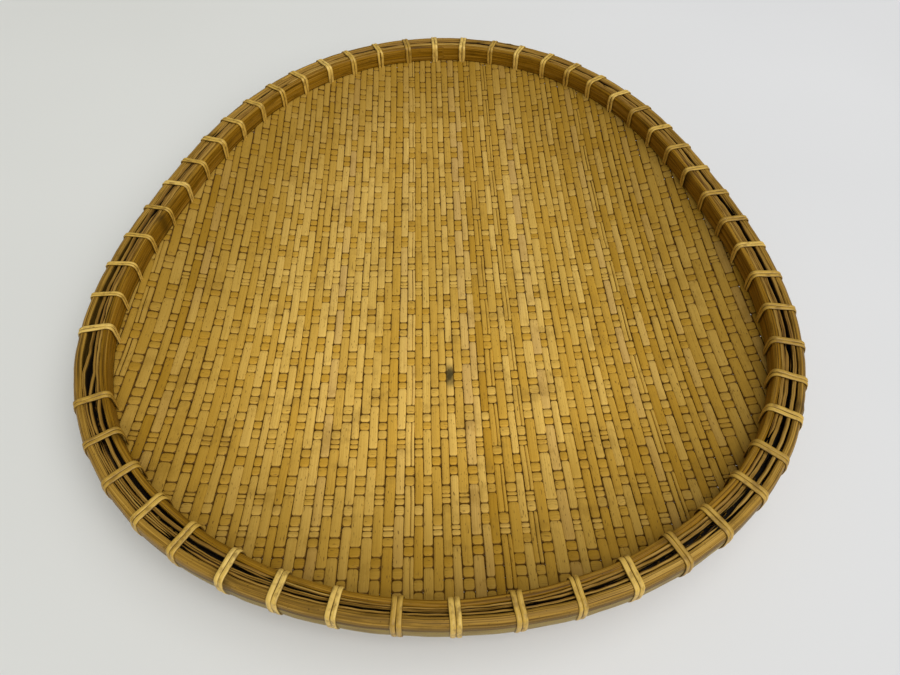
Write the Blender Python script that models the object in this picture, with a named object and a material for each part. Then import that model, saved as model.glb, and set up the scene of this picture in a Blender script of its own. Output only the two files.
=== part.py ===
"""Winnowing basket: a shallow woven bamboo tray with a lashed double-hoop rim.

The tray is a rounded triangle in plan, narrow at the back (+Y) and broad at the
front (-Y).  A dished bamboo mat turns up at its edge and is gripped between an
inner and an outer bamboo hoop.  Thin splints fill the slot between the hoops, and
split-cane lashings wrap the whole rim, each one passing through a hole in the mat.

Units are metres, +Z is up.  The mat's flat underside rests on z = 0 and the plan
is centred on the origin.
"""

import functools
import math
import random

import bpy
import numpy as np
from mathutils import Vector

# ---------------------------------------------------------------- plan outline
# Radius of the rim's outer edge against the angle from the back, clockwise:
# a mean radius and four harmonics give the rounded triangle.
RADIUS_MEAN = 0.2415
RADIUS_HARMONICS = (-0.0030, 0.0242, 0.0100, -0.0015)
OUTLINE_SAMPLES = 2880

# ---------------------------------------------------------------- rim section
# Widths are measured inward from the outer edge of the lashings, heights from
# the table.
LASH_THICK = 0.0009
LASH_GAP = 0.0003
HOOP_BOTTOM = 0.0213
OUTER_HOOP_OUT = LASH_THICK + LASH_GAP
OUTER_HOOP_THICK = 0.0055
OUTER_HOOP_TOP = 0.0372
OUTER_HOOP_INNER = OUTER_HOOP_OUT + OUTER_HOOP_THICK
INNER_HOOP_THICK = 0.0036
INNER_HOOP_TOP = 0.0375
INNER_HOOP_BOTTOM = 0.0246
LASH_TOP = 0.0378
LASH_OUTSIDE_BOTTOM = 0.0207
LASH_INSIDE_BOTTOM = 0.0211

# The slot between the hoops is narrow at the middle of the front and widens
# along both sides.
SLOT_FRONT = 0.0038
SLOT_WIDENING = 0.0058
SLOT_NARROW_REACH = 0.110

# ---------------------------------------------------------------- filler splints
SPLINT_COUNT = 3
SPLINT_FILL = 0.8
SPLINT_CLEARANCE = 0.0003
SPLINT_HEIGHT = 0.0052
SPLINT_TOPS = (0.0362, 0.0357, 0.0366)

# ---------------------------------------------------------------- woven mat
MAT_THICK = 0.0014
MAT_FLAT_FRACTION = 0.28
MAT_RISE_POWER = 2.1
MAT_EDGE_HEIGHT = 0.0219
COLLAR_TOP = 0.0300
COLLAR_BOTTOM = 0.0267
COLLAR_BEND = ((0.0005, 0.0247), (0.0016, 0.0235))
HOLE_OUTER_PAST_RIM = -0.0003
HOLE_OUTER_HEIGHT = 0.0228
HOLE_INNER_PAST_RIM = 0.0019
HOLE_INNER_HEIGHT = 0.0223
MAT_EDGE_PAST_RIM = 0.0036
DISH_RINGS = (0.28, 0.50, 0.68, 0.82, 0.93)

# ---------------------------------------------------------------- lashings
LASH_PLACES = 54
LASH_SKIPPED = 37
LASH_PHASE = -0.009
LASH_WIDTH = 0.0054
LASH_JITTER = 0.0012
LASH_CHAMFER = 0.0022
HOLE_WIDTH = 0.0068
LASH_SEED = 7

# ---------------------------------------------------------------- colours
COLOURS = {
    "mat": ((0.55, 0.37, 0.13), 0.55),
    "inner_hoop": ((0.36, 0.17, 0.045), 0.38),
    "outer_hoop": ((0.42, 0.20, 0.055), 0.40),
    "splint": ((0.34, 0.19, 0.075), 0.60),
    "lashing": ((0.58, 0.39, 0.14), 0.42),
}


def clear_scene():
    """Remove every object of the scene."""
    for obj in list(bpy.data.objects):
        bpy.data.objects.remove(obj, do_unlink=True)


def make_material(name, kind):
    """One Principled material with the colour and roughness of its kind."""
    colour, roughness = COLOURS[kind]
    material = bpy.data.materials.new(name)
    material.use_nodes = True
    shader = material.node_tree.nodes["Principled BSDF"]
    shader.inputs["Base Color"].default_value = (*colour, 1.0)
    shader.inputs["Roughness"].default_value = roughness
    shader.inputs["Metallic"].default_value = 0.0
    material.diffuse_color = (*colour, 1.0)
    return material


def radius_at(angle):
    """Distance of the rim's outer edge from the centre, at an angle from the back."""
    radius = RADIUS_MEAN
    for order, amount in enumerate(RADIUS_HARMONICS, start=1):
        radius = radius + amount * np.cos(order * angle)
    return radius


class Outline:
    """The rim's outer edge, followed clockwise from the back by its length."""

    def __init__(self):
        angles = np.linspace(0.0, 2.0 * math.pi, OUTLINE_SAMPLES + 1)
        radius = radius_at(angles)
        across = radius * np.sin(angles)
        along = radius * np.cos(angles)
        across = across - 0.5 * (across.max() + across.min())
        along = along - 0.5 * (along.max() + along.min())
        steps = np.hypot(np.diff(across), np.diff(along))
        self.lengths = np.concatenate(([0.0], np.cumsum(steps)))
        self.total = float(self.lengths[-1])
        self.across = across
        self.along = along

    def raw(self, length):
        """Point of the edge at a length from the back."""
        wrapped = length % self.total
        x = float(np.interp(wrapped, self.lengths, self.across))
        y = float(np.interp(wrapped, self.lengths, self.along))
        return Vector((x, y, 0.0))

    def tangent(self, length):
        """Unit direction of travel at a length from the back."""
        reach = 0.003
        return (self.raw(length + reach) - self.raw(length - reach)).normalized()

    def inward(self, length):
        """Unit direction into the tray at a length from the back."""
        tangent = self.tangent(length)
        return Vector((tangent.y, -tangent.x, 0.0))

    def point(self, length, inset, height):
        """Point of the rim: how far round, how far inside the edge, how high."""
        spot = self.raw(length) + inset * self.inward(length)
        return Vector((spot.x, spot.y, height))

    def slot(self, length):
        """Width of the slot between the hoops at a length from the back."""
        away = length % self.total - 0.5 * self.total
        narrow = math.exp(-((away / SLOT_NARROW_REACH) ** 2))
        return SLOT_FRONT + SLOT_WIDENING * (1.0 - narrow)


def rim_inner(slot):
    """Inset of the inner hoop's inner face."""
    return OUTER_HOOP_INNER + slot + INNER_HOOP_THICK


def lash_lengths(outline):
    """Length from the back of every lashing place, evenly spaced by hand."""
    spread = random.Random(LASH_SEED)
    pitch = outline.total / LASH_PLACES
    places = []
    for place in range(LASH_PLACES):
        places.append(LASH_PHASE + pitch * place + spread.uniform(-LASH_JITTER, LASH_JITTER))
    return places


def column_lengths(places):
    """Section places round the rim: both sides of each lashing hole."""
    columns = []
    for place in places:
        columns.append(place - 0.5 * HOLE_WIDTH)
        columns.append(place + 0.5 * HOLE_WIDTH)
    return columns


def add_object(name, kind, vertices, faces, parent):
    """Put one closed body into the scene under the basket's empty."""
    mesh = bpy.data.meshes.new(name)
    mesh.from_pydata([tuple(v) for v in vertices], [], faces)
    mesh.update()
    mesh.validate()
    obj = bpy.data.objects.new(name, mesh)
    mesh.materials.append(make_material(name + "_material", kind))
    bpy.context.scene.collection.objects.link(obj)
    obj.parent = parent
    return obj


def ring_faces(rows, columns):
    """Quads of a closed section swept round a closed loop."""
    faces = []
    for column in range(columns):
        ahead = (column + 1) % columns
        for row in range(rows):
            above = (row + 1) % rows
            a = column * rows + row
            b = column * rows + above
            c = ahead * rows + above
            d = ahead * rows + row
            faces.append((a, b, c, d))
    return faces


def sweep_round(name, kind, outline, columns, section_in, parent):
    """Sweep a closed section round the rim; its corners depend on the slot's width."""
    vertices = []
    corners = 0
    for length in columns:
        section = section_in(outline.slot(length))
        corners = len(section)
        for inset, height in section:
            vertices.append(outline.point(length, inset, height))
    faces = ring_faces(corners, len(columns))
    return add_object(name, kind, vertices, faces, parent)


def outer_hoop_section(slot):
    """Half-round split bamboo, its skin bulging outward, the same at any slot."""
    left = OUTER_HOOP_OUT
    right = OUTER_HOOP_INNER
    middle = 0.5 * (HOOP_BOTTOM + OUTER_HOOP_TOP)
    shoulder = 0.0045
    bulge = 0.0016
    return [
        (right, HOOP_BOTTOM + 0.0004),
        (left + bulge, HOOP_BOTTOM),
        (left + 0.0003, middle - shoulder),
        (left, middle),
        (left + 0.0003, middle + shoulder),
        (left + bulge, OUTER_HOOP_TOP - 0.0003),
        (0.5 * (left + right), OUTER_HOOP_TOP),
        (right, OUTER_HOOP_TOP - 0.0006),
    ]


def inner_hoop_section(slot):
    """Flat bamboo strip on edge, its inner top corner eased."""
    left = OUTER_HOOP_INNER + slot
    right = rim_inner(slot)
    ease = 0.0007
    return [
        (right, INNER_HOOP_BOTTOM),
        (left, INNER_HOOP_BOTTOM),
        (left, INNER_HOOP_TOP),
        (right - ease, INNER_HOOP_TOP),
        (right, INNER_HOOP_TOP - ease),
    ]


def splint_section(index, slot):
    """Splint standing on edge in its own lane of the slot between the hoops."""
    lane = (slot - 2.0 * SPLINT_CLEARANCE) / SPLINT_COUNT
    left = OUTER_HOOP_INNER + SPLINT_CLEARANCE + index * lane
    right = left + SPLINT_FILL * lane
    top = SPLINT_TOPS[index]
    bottom = top - SPLINT_HEIGHT
    return [(right, bottom), (left, bottom), (left, top), (right, top)]


def mat_rows(slot):
    """Middle line of the mat from the collar's top inward: inset or fraction, height."""
    collar = OUTER_HOOP_INNER + 0.5 * slot
    rim = rim_inner(slot)
    rows = [("inset", collar, COLLAR_TOP), ("inset", collar, COLLAR_BOTTOM)]
    for further, height in COLLAR_BEND:
        rows.append(("inset", collar + further, height))
    rows.append(("inset", rim + HOLE_OUTER_PAST_RIM, HOLE_OUTER_HEIGHT))
    rows.append(("inset", rim + HOLE_INNER_PAST_RIM, HOLE_INNER_HEIGHT))
    rows.append(("inset", rim + MAT_EDGE_PAST_RIM, MAT_EDGE_HEIGHT))
    low = 0.5 * MAT_THICK
    rise = MAT_EDGE_HEIGHT - low
    for fraction in reversed(DISH_RINGS):
        steep = max(0.0, (fraction - MAT_FLAT_FRACTION) / (1.0 - MAT_FLAT_FRACTION))
        rows.append(("fraction", fraction, low + rise * steep ** MAT_RISE_POWER))
    return rows


def mat_line(outline, length, rows):
    """Middle line of the mat at one place round the rim, from edge to flat centre."""
    line = []
    edge = outline.point(length, rim_inner(outline.slot(length)) + MAT_EDGE_PAST_RIM, 0.0)
    for kind, amount, height in rows:
        if kind == "inset":
            line.append(outline.point(length, amount, height))
        else:
            line.append(Vector((amount * edge.x, amount * edge.y, height)))
    return line


def mat_skins(line, inward):
    """Upper and lower skin points on both sides of the mat's middle line."""
    upper = []
    lower = []
    last = len(line) - 1
    for index, spot in enumerate(line):
        run = line[min(index + 1, last)] - line[max(index - 1, 0)]
        drop = run.z
        if index == last:
            drop = 0.0
        level = Vector((run.x, run.y, 0.0))
        heading = inward
        if level.length > 0.1 * MAT_THICK:
            heading = level.normalized()
        side = (level.length * Vector((0.0, 0.0, 1.0)) - drop * heading).normalized()
        upper.append(spot + 0.5 * MAT_THICK * side)
        lower.append(spot - 0.5 * MAT_THICK * side)
    return upper, lower


def build_mat(outline, columns, skipped, parent):
    """Dished mat shell with an upturned collar and one hole for each lashing."""
    depth = len(mat_rows(SLOT_FRONT))
    hole_row = 2 + len(COLLAR_BEND)
    vertices = []
    for length in columns:
        rows = mat_rows(outline.slot(length))
        upper, lower = mat_skins(mat_line(outline, length, rows), outline.inward(length))
        vertices.extend(upper)
        vertices.extend(lower)
    count = len(columns)
    stride = 2 * depth
    faces = []
    for column in range(count):
        here = column * stride
        ahead = ((column + 1) % count) * stride
        is_hole = column % 2 == 0 and column // 2 != skipped
        for row in range(depth - 1):
            if is_hole and row == hole_row:
                faces.extend(hole_walls(here, ahead, row, depth))
                continue
            a, b, c, d = here + row, here + row + 1, ahead + row + 1, ahead + row
            faces.append((a, d, c, b))
            faces.append((a + depth, b + depth, c + depth, d + depth))
        faces.append((here, here + depth, ahead + depth, ahead))
    top_centre = len(vertices)
    vertices.append(Vector((0.0, 0.0, MAT_THICK)))
    low_centre = len(vertices)
    vertices.append(Vector((0.0, 0.0, 0.0)))
    inner = depth - 1
    for column in range(count):
        here = column * stride + inner
        ahead = ((column + 1) % count) * stride + inner
        faces.append((here, ahead, top_centre))
        faces.append((ahead + depth, here + depth, low_centre))
    return add_object("woven_mat", "mat", vertices, faces, parent)


def hole_walls(here, ahead, row, depth):
    """Four walls through the mat round one lashing hole."""
    a, b = here + row, here + row + 1
    c, d = ahead + row + 1, ahead + row
    return [
        (a, d, d + depth, a + depth),
        (d, c, c + depth, d + depth),
        (c, b, b + depth, c + depth),
        (b, a, a + depth, b + depth),
    ]


def lashing_path(slot, grow):
    """Path of a lashing round the rim's section, offset outward by grow."""
    left = LASH_THICK - grow
    right = rim_inner(slot) + LASH_GAP + grow
    high = LASH_TOP + grow
    chamfer = LASH_CHAMFER - 0.35 * (LASH_THICK - grow)
    small = 0.25 * chamfer
    return [
        (left + chamfer, LASH_OUTSIDE_BOTTOM - grow),
        (left, LASH_OUTSIDE_BOTTOM + chamfer - grow),
        (left, high - chamfer),
        (left + small, high - small),
        (left + chamfer, high),
        (right - small, high),
        (right, high - small),
        (right, LASH_INSIDE_BOTTOM - grow),
    ]


def build_lashing(name, outline, length, parent):
    """One closed band of split cane wrapped round the rim."""
    centre = outline.raw(length)
    tangent = outline.tangent(length)
    inward = outline.inward(length)
    slot = outline.slot(length)
    inside = lashing_path(slot, 0.0)
    outside = lashing_path(slot, LASH_THICK)
    half = 0.5 * LASH_WIDTH
    vertices = []
    for near, far in zip(inside, outside):
        for (inset, height), offset in ((near, -half), (near, half), (far, half), (far, -half)):
            spot = centre + inset * inward + offset * tangent
            vertices.append(Vector((spot.x, spot.y, height)))
    faces = ring_faces(4, len(inside))
    return add_object(name, "lashing", vertices, faces, parent)


def face_outward(obj):
    """Turn the faces outward if the body was wound inside out."""
    mesh = obj.data
    volume = 0.0
    for polygon in mesh.polygons:
        corners = [mesh.vertices[i].co for i in polygon.vertices]
        for index in range(1, len(corners) - 1):
            volume += corners[0].dot(corners[index].cross(corners[index + 1]))
    if volume < 0.0:
        mesh.flip_normals()
    mesh.shade_smooth()
    mesh.set_sharp_from_angle(angle=math.radians(35.0))


def centre_on_origin(objects):
    """Shift every body together so the whole plan is centred on the origin."""
    low = Vector((1.0, 1.0, 0.0))
    high = Vector((-1.0, -1.0, 0.0))
    for obj in objects:
        for vertex in obj.data.vertices:
            low.x = min(low.x, vertex.co.x)
            low.y = min(low.y, vertex.co.y)
            high.x = max(high.x, vertex.co.x)
            high.y = max(high.y, vertex.co.y)
    shift = -0.5 * (low + high)
    for obj in objects:
        for vertex in obj.data.vertices:
            vertex.co.x += shift.x
            vertex.co.y += shift.y
        obj.data.update()


def main():
    clear_scene()
    basket = bpy.data.objects.new("winnowing_basket", None)
    bpy.context.scene.collection.objects.link(basket)
    outline = Outline()
    places = lash_lengths(outline)
    columns = column_lengths(places)
    bodies = [build_mat(outline, columns, LASH_SKIPPED, basket)]
    bodies.append(sweep_round("outer_hoop", "outer_hoop", outline, columns, outer_hoop_section, basket))
    bodies.append(sweep_round("inner_hoop", "inner_hoop", outline, columns, inner_hoop_section, basket))
    for index in range(SPLINT_COUNT):
        name = "filler_splint_%d" % (index + 1)
        section_in = functools.partial(splint_section, index)
        bodies.append(sweep_round(name, "splint", outline, columns, section_in, basket))
    number = 0
    for place, length in enumerate(places):
        if place == LASH_SKIPPED:
            continue
        number += 1
        bodies.append(build_lashing("lashing_%02d" % number, outline, length, basket))
    for body in bodies:
        face_outward(body)
    centre_on_origin(bodies)


main()
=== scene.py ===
"""Looks of the winnowing basket: every bamboo strip, hoop, splint and lashing."""

import math
import random

import bpy
import numpy as np
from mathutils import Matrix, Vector, kdtree


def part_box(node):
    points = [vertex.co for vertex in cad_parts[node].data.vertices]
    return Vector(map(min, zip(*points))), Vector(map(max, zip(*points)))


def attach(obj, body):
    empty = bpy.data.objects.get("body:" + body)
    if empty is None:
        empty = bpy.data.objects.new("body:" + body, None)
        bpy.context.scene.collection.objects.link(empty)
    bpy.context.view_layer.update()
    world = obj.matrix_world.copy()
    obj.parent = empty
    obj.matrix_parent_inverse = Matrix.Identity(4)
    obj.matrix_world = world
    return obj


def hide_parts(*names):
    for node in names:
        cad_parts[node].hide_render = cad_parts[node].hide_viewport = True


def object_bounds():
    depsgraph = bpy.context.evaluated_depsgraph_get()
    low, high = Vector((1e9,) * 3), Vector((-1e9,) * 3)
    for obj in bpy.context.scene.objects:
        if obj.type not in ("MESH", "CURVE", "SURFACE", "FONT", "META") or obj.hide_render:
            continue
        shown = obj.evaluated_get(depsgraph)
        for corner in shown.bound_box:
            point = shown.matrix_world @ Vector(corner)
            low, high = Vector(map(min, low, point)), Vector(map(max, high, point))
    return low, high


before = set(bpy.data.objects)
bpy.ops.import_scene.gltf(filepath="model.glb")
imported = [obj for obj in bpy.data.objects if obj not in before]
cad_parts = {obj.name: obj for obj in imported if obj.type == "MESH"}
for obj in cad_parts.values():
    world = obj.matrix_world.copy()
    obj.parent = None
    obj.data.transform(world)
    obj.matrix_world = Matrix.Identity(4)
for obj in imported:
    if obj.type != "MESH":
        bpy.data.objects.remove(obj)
cad_low, cad_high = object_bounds()

MM = 0.001
PHASE = 6.28  # a random phase is drawn from 0 to here

# ---------------------------------------------------------------- plan outline
RADIUS_MEAN = 241.5
RADIUS_HARMONICS = (-3.0, 24.2, 10.0, -1.5)
OUTLINE_SAMPLES = 5760
SLOPE_SAMPLES = 3
HALF_METRE = 500.0  # in millimetres, to find the middle of a box given in metres

# ---------------------------------------------------------------- rim section, millimetres
OUTER_OUT = 1.2
OUTER_THICK = 5.5
OUTER_INNER = OUTER_OUT + OUTER_THICK
SLOT_FRONT = 3.8
SLOT_WIDENING = 5.8
SLOT_NARROW_REACH = 110.0
INNER_THICK = 3.6
HOOP_LOW = 21.3
INNER_LOW = 24.0
OUTER_TOP = 37.2
INNER_TOP = 37.5

# ---------------------------------------------------------------- mat, lengths in millimetres
# Warps run from front to back and wefts from side to side.
WEAVE_TURN = math.radians(-1.8)
WARP_PITCH = 5.0
WEFT_PITCH = 6.15
STRIP_THICK = 0.84
LIFT = 0.46
FLAT_FRACTION = 0.28
RISE_POWER = 2.1
EDGE_PAST_RIM = 3.6
EDGE_HEIGHT = 21.9
BOTTOM_HEIGHT = 0.93
MEAN_HALF_SLOT = 4.2
WARP_COVER = 436.0
WEFT_COVER = 520.0
WARP_SPREAD = 0.11
WEFT_SPREAD = 0.09
SPREAD_LOW = -1.6
SPREAD_HIGH = 2.2
SIDE_START = 150.0
SIDE_WIDER = 1.12
DRIFT_WAVES = ((190.0, 0.5), (75.0, 0.35), (28.0, 0.2))
DRIFT = 0.30
TUCK_REACH = 0.36
TUCK_STEPS = (-1.0, -0.35, 0.35, 1.0)
SURFACE_STEP = 0.6
FEWEST_RINGS = 12
TWIST = 0.05
TWIST_RUN = 9.0
WIDTH_WAVE = 0.05
WIDTH_RUN = 23.0
FILL = (0.95, 1.02)
THICK_SPREAD = (0.88, 1.08)
END_TRIM = (0.3, 2.5)
WARP_SPLIT_CHANCE = 0.07
WEFT_SPLIT_CHANCE = 0.08
SPLIT_AT = (0.35, 0.65)
SPLIT_GAP = 0.12
WARP_TONE = (0.36, 0.64)
WEFT_TONE = (0.12, 0.56)
TONE_SWAP_CHANCE = 0.16
WEAVE_SEED = 20
WARP_SEED = 100
WEFT_SEED = 400
TWILL_REPEAT = 7
TWILL_STEP = 3
TWILL_UNDER = 2
TWILL_START = 2
# The dark mark on one warp: where it is along u and v, and half its length.
STAIN_RIGHT = 2.6
STAIN_FORWARD = -100.0
STAIN_LENGTH = 8.0
STAIN_AMOUNT = 0.95

# ---------------------------------------------------------------- lashings, lengths in millimetres
LASH_PLACES = 54
LASH_SKIPPED = 37
LASH_PHASE = -9.0
LASH_JITTER = 1.2
LASH_SEED = 7
WRAP_SEED = 700
WRAP_WIDTH = (1.18, 1.42)
SLIM_WIDTH = 0.92
SLIM_FROM = 0.70
SLIM_TO = 0.79
STRAND_THICK = 0.40
STRAND_SPACING = 0.6
CORNER_STEPS = 5


# ================================================================ rim geometry
class Rim:
    """The rim's outer edge followed clockwise from the back, in millimetres."""

    def __init__(self):
        angle = np.linspace(0.0, 2.0 * math.pi, OUTLINE_SAMPLES + 1)
        radius = np.full_like(angle, RADIUS_MEAN)
        for order, amount in enumerate(RADIUS_HARMONICS, start=1):
            radius += amount * np.cos(order * angle)
        x = radius * np.sin(angle)
        y = radius * np.cos(angle)
        x -= 0.5 * (x.max() + x.min())
        y -= 0.5 * (y.max() + y.min())
        step = np.hypot(np.diff(x), np.diff(y))
        length = np.concatenate(([0.0], np.cumsum(step)))
        self.total = float(length[-1])
        self.s = np.linspace(0.0, self.total, OUTLINE_SAMPLES + 1)
        self.x = np.interp(self.s, length, x)
        self.y = np.interp(self.s, length, y)
        tx = self._slope(self.x)
        ty = self._slope(self.y)
        size = np.hypot(tx, ty)
        self.nx = ty / size
        self.ny = -tx / size
        self._align()
        self.tree = kdtree.KDTree(OUTLINE_SAMPLES)
        for i in range(OUTLINE_SAMPLES):
            self.tree.insert((self.x[i], self.y[i], 0.0), i)
        self.tree.balance()
        edge = self.inner(self.s) + EDGE_PAST_RIM
        inner_x = self.x + edge * self.nx
        inner_y = self.y + edge * self.ny
        self.turn = np.unwrap(np.arctan2(inner_x, inner_y))
        self.reach = np.hypot(inner_x, inner_y)

    def _slope(self, values):
        ring = values[:-1]
        slope = np.roll(ring, -SLOPE_SAMPLES) - np.roll(ring, SLOPE_SAMPLES)
        return np.append(slope, slope[0])

    def _align(self):
        """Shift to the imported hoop's place."""
        low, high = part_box("outer_hoop")
        hoop_x = self.x + OUTER_OUT * self.nx
        hoop_y = self.y + OUTER_OUT * self.ny
        self.x += HALF_METRE * (low[0] + high[0]) - 0.5 * (hoop_x.max() + hoop_x.min())
        self.y += HALF_METRE * (low[1] + high[1]) - 0.5 * (hoop_y.max() + hoop_y.min())

    def slot(self, s):
        """Width of the slot between the hoops, narrow at the middle of the front."""
        away = np.mod(s, self.total) - 0.5 * self.total
        return SLOT_FRONT + SLOT_WIDENING * (1.0 - np.exp(-((away / SLOT_NARROW_REACH) ** 2)))

    def inner(self, s):
        """Inset of the inner hoop's inner face."""
        return OUTER_INNER + self.slot(s) + INNER_THICK

    def at(self, s, inset, z):
        """Points in the rim: how far round, how far inside the edge, how high."""
        s, inset, z = np.broadcast_arrays(np.asarray(s, float), inset, z)
        w = np.mod(s, self.total)
        nx = np.interp(w, self.s, self.nx)
        ny = np.interp(w, self.s, self.ny)
        x = np.interp(w, self.s, self.x) + inset * nx
        y = np.interp(w, self.s, self.y) + inset * ny
        return np.stack([x, y, z], axis=-1)

    def frame_at(self, s):
        """Edge point, inward and forward directions at one place."""
        w = s % self.total
        nx = float(np.interp(w, self.s, self.nx))
        ny = float(np.interp(w, self.s, self.ny))
        spot = np.array([np.interp(w, self.s, self.x), np.interp(w, self.s, self.y), 0.0])
        return spot, np.array([nx, ny, 0.0]), np.array([-ny, nx, 0.0])

    def depth(self, x, y):
        """Distance inside the edge, and the nearest place round it."""
        inside = np.empty(len(x))
        place = np.empty(len(x))
        spacing = self.total / OUTLINE_SAMPLES
        for k in range(len(x)):
            _, i, _ = self.tree.find((x[k], y[k], 0.0))
            dx = x[k] - self.x[i]
            dy = y[k] - self.y[i]
            inside[k] = dx * self.nx[i] + dy * self.ny[i]
            place[k] = i * spacing + (-dx * self.ny[i] + dy * self.nx[i])
        return inside, place


rim = Rim()

# Profile of the mat's middle surface from the dish's edge, under the inner hoop
# and up between the hoops: how far past the inner hoop's face, how far across to
# the slot's middle, and height.
EDGE_PROFILE = np.array([
    (EDGE_PAST_RIM, 0.0, EDGE_HEIGHT),
    (1.8, 0.0, 22.45),
    (0.0, 0.0, 22.9),
    (0.0, 0.55, 23.4),
    (0.0, 0.85, 24.4),
    (0.0, 0.97, 25.8),
    (0.0, 1.0, 27.5),
    (0.0, 1.0, 32.0),
])
MEAN_REACH = INNER_THICK + MEAN_HALF_SLOT
PROFILE_INSET = EDGE_PROFILE[:, 0] - EDGE_PROFILE[:, 1] * MEAN_REACH
PROFILE_RUN = np.concatenate(
    ([0.0], np.cumsum(np.hypot(np.diff(PROFILE_INSET), np.diff(EDGE_PROFILE[:, 2]))))
)


def mat_surface(u, v):
    """Middle surface of the mat at weave coordinates, and how far inside its edge.

    u runs across the tray and v from front to back, in millimetres.
    """
    cos_t = math.cos(WEAVE_TURN)
    sin_t = math.sin(WEAVE_TURN)
    x = u * cos_t + v * sin_t
    y = -u * sin_t + v * cos_t
    inside, place = rim.depth(x, y)
    turn = np.arctan2(x, y)
    turn = np.where(turn < rim.turn[0], turn + 2.0 * math.pi, turn)
    reach = np.interp(turn, rim.turn, rim.reach)
    fraction = np.hypot(x, y) / reach
    steep = np.clip((fraction - FLAT_FRACTION) / (1.0 - FLAT_FRACTION), 0.0, 1.0)
    z = BOTTOM_HEIGHT + (EDGE_HEIGHT - BOTTOM_HEIGHT) * steep ** RISE_POWER
    points = np.stack([x, y, z], axis=-1)
    edge = rim.inner(place) + EDGE_PAST_RIM
    low = inside < edge
    run = np.clip(edge[low] - inside[low], 0.0, PROFILE_RUN[-1])
    past = np.interp(run, PROFILE_RUN, EDGE_PROFILE[:, 0])
    across = np.interp(run, PROFILE_RUN, EDGE_PROFILE[:, 1])
    height = np.interp(run, PROFILE_RUN, EDGE_PROFILE[:, 2])
    reach = INNER_THICK + 0.5 * rim.slot(place[low])
    points[low] = rim.at(place[low], rim.inner(place[low]) + past - across * reach, height)
    return points, inside - edge


# ================================================================ mesh helpers
def new_object(name, points, faces, sharp=None):
    """Mesh object from millimetre points, creased past an angle if one is given."""
    mesh = bpy.data.meshes.new(name)
    mesh.from_pydata((np.asarray(points) * MM).tolist(), [], faces)
    mesh.update()
    mesh.shade_smooth()
    if sharp is not None:
        mesh.set_sharp_from_angle(angle=math.radians(sharp))
    obj = bpy.data.objects.new(name, mesh)
    bpy.context.scene.collection.objects.link(obj)
    return obj


def store(obj, name, values):
    """Keep one number or vector for each vertex."""
    values = np.asarray(values, dtype=np.float32)
    kind = "FLOAT" if values.ndim == 1 else "FLOAT_VECTOR"
    layer = obj.data.attributes.new(name, kind, "POINT")
    key = "value" if kind == "FLOAT" else "vector"
    layer.data.foreach_set(key, values.ravel())


def tube_faces(rings, size, closed, start=0):
    """Quads joining rings of points, with end caps when the tube is open."""
    faces = []
    last = rings if closed else rings - 1
    for r in range(last):
        here = start + r * size
        ahead = start + ((r + 1) % rings) * size
        for k in range(size):
            n = (k + 1) % size
            faces.append((here + k, here + n, ahead + n, ahead + k))
    if not closed:
        faces.append(tuple(start + k for k in reversed(range(size))))
        end = start + (rings - 1) * size
        faces.append(tuple(end + k for k in range(size)))
    return faces


# Cross-section of a bamboo strip: side (-1..1) and height (-1..1).
STRIP_SECTION = np.array([
    (-1.0, -0.62),
    (-0.91, 0.10),
    (-0.70, 0.72),
    (-0.25, 1.0),
    (0.25, 1.0),
    (0.70, 0.72),
    (0.91, 0.10),
    (1.0, -0.62),
    (0.98, -1.0),
    (-0.98, -1.0),
])
BOTTOM_LEVEL = -0.9  # section points below this are the underside


# ================================================================ the weave
def spaced(total, pitch, spread, rng, wide_from=None):
    """Centres and pitches of hand-spaced strips covering -total/2..total/2."""
    centres = []
    sizes = []
    at = -0.5 * total
    while at < 0.5 * total:
        size = pitch * (1.0 + spread * max(SPREAD_LOW, min(SPREAD_HIGH, rng.gauss(0.0, 1.0))))
        if wide_from is not None and abs(at) > wide_from:
            size *= SIDE_WIDER
        centres.append(at + 0.5 * size)
        sizes.append(size)
        at += size
    return np.array(centres), np.array(sizes)


def wander(rng, amount):
    """Slow sideways drift of one strip along its length."""
    waves = []
    for wavelength, share in DRIFT_WAVES:
        waves.append((wavelength * rng.uniform(0.8, 1.25), share * amount, rng.uniform(0.0, PHASE)))

    def drift(t):
        value = np.zeros_like(t)
        for wavelength, size, phase in waves:
            value += size * np.sin(2.0 * math.pi * t / wavelength + phase)
        return value

    return drift


def weft_on_top(column, row):
    """True where the weft shows over the warp."""
    start = (TWILL_START - TWILL_STEP * column) % TWILL_REPEAT
    return (row - start) % TWILL_REPEAT < TWILL_UNDER


def strip_path(crossings, sizes, tops):
    """Positions along a strip and its lift: over at +1, under at -1."""
    along = []
    lift = []
    for k in range(len(crossings)):
        along.append(crossings[k])
        lift.append(tops[k])
        if k + 1 == len(crossings):
            break
        edge = crossings[k] + 0.5 * sizes[k]
        reach = TUCK_REACH * (sizes[k] + sizes[k + 1]) * 0.5
        for f in TUCK_STEPS:
            along.append(edge + f * reach)
            ease = 0.5 * (1.0 + math.sin(0.5 * math.pi * f))
            lift.append(tops[k] + (tops[k + 1] - tops[k]) * ease)
    return np.array(along), np.array(lift)


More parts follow.
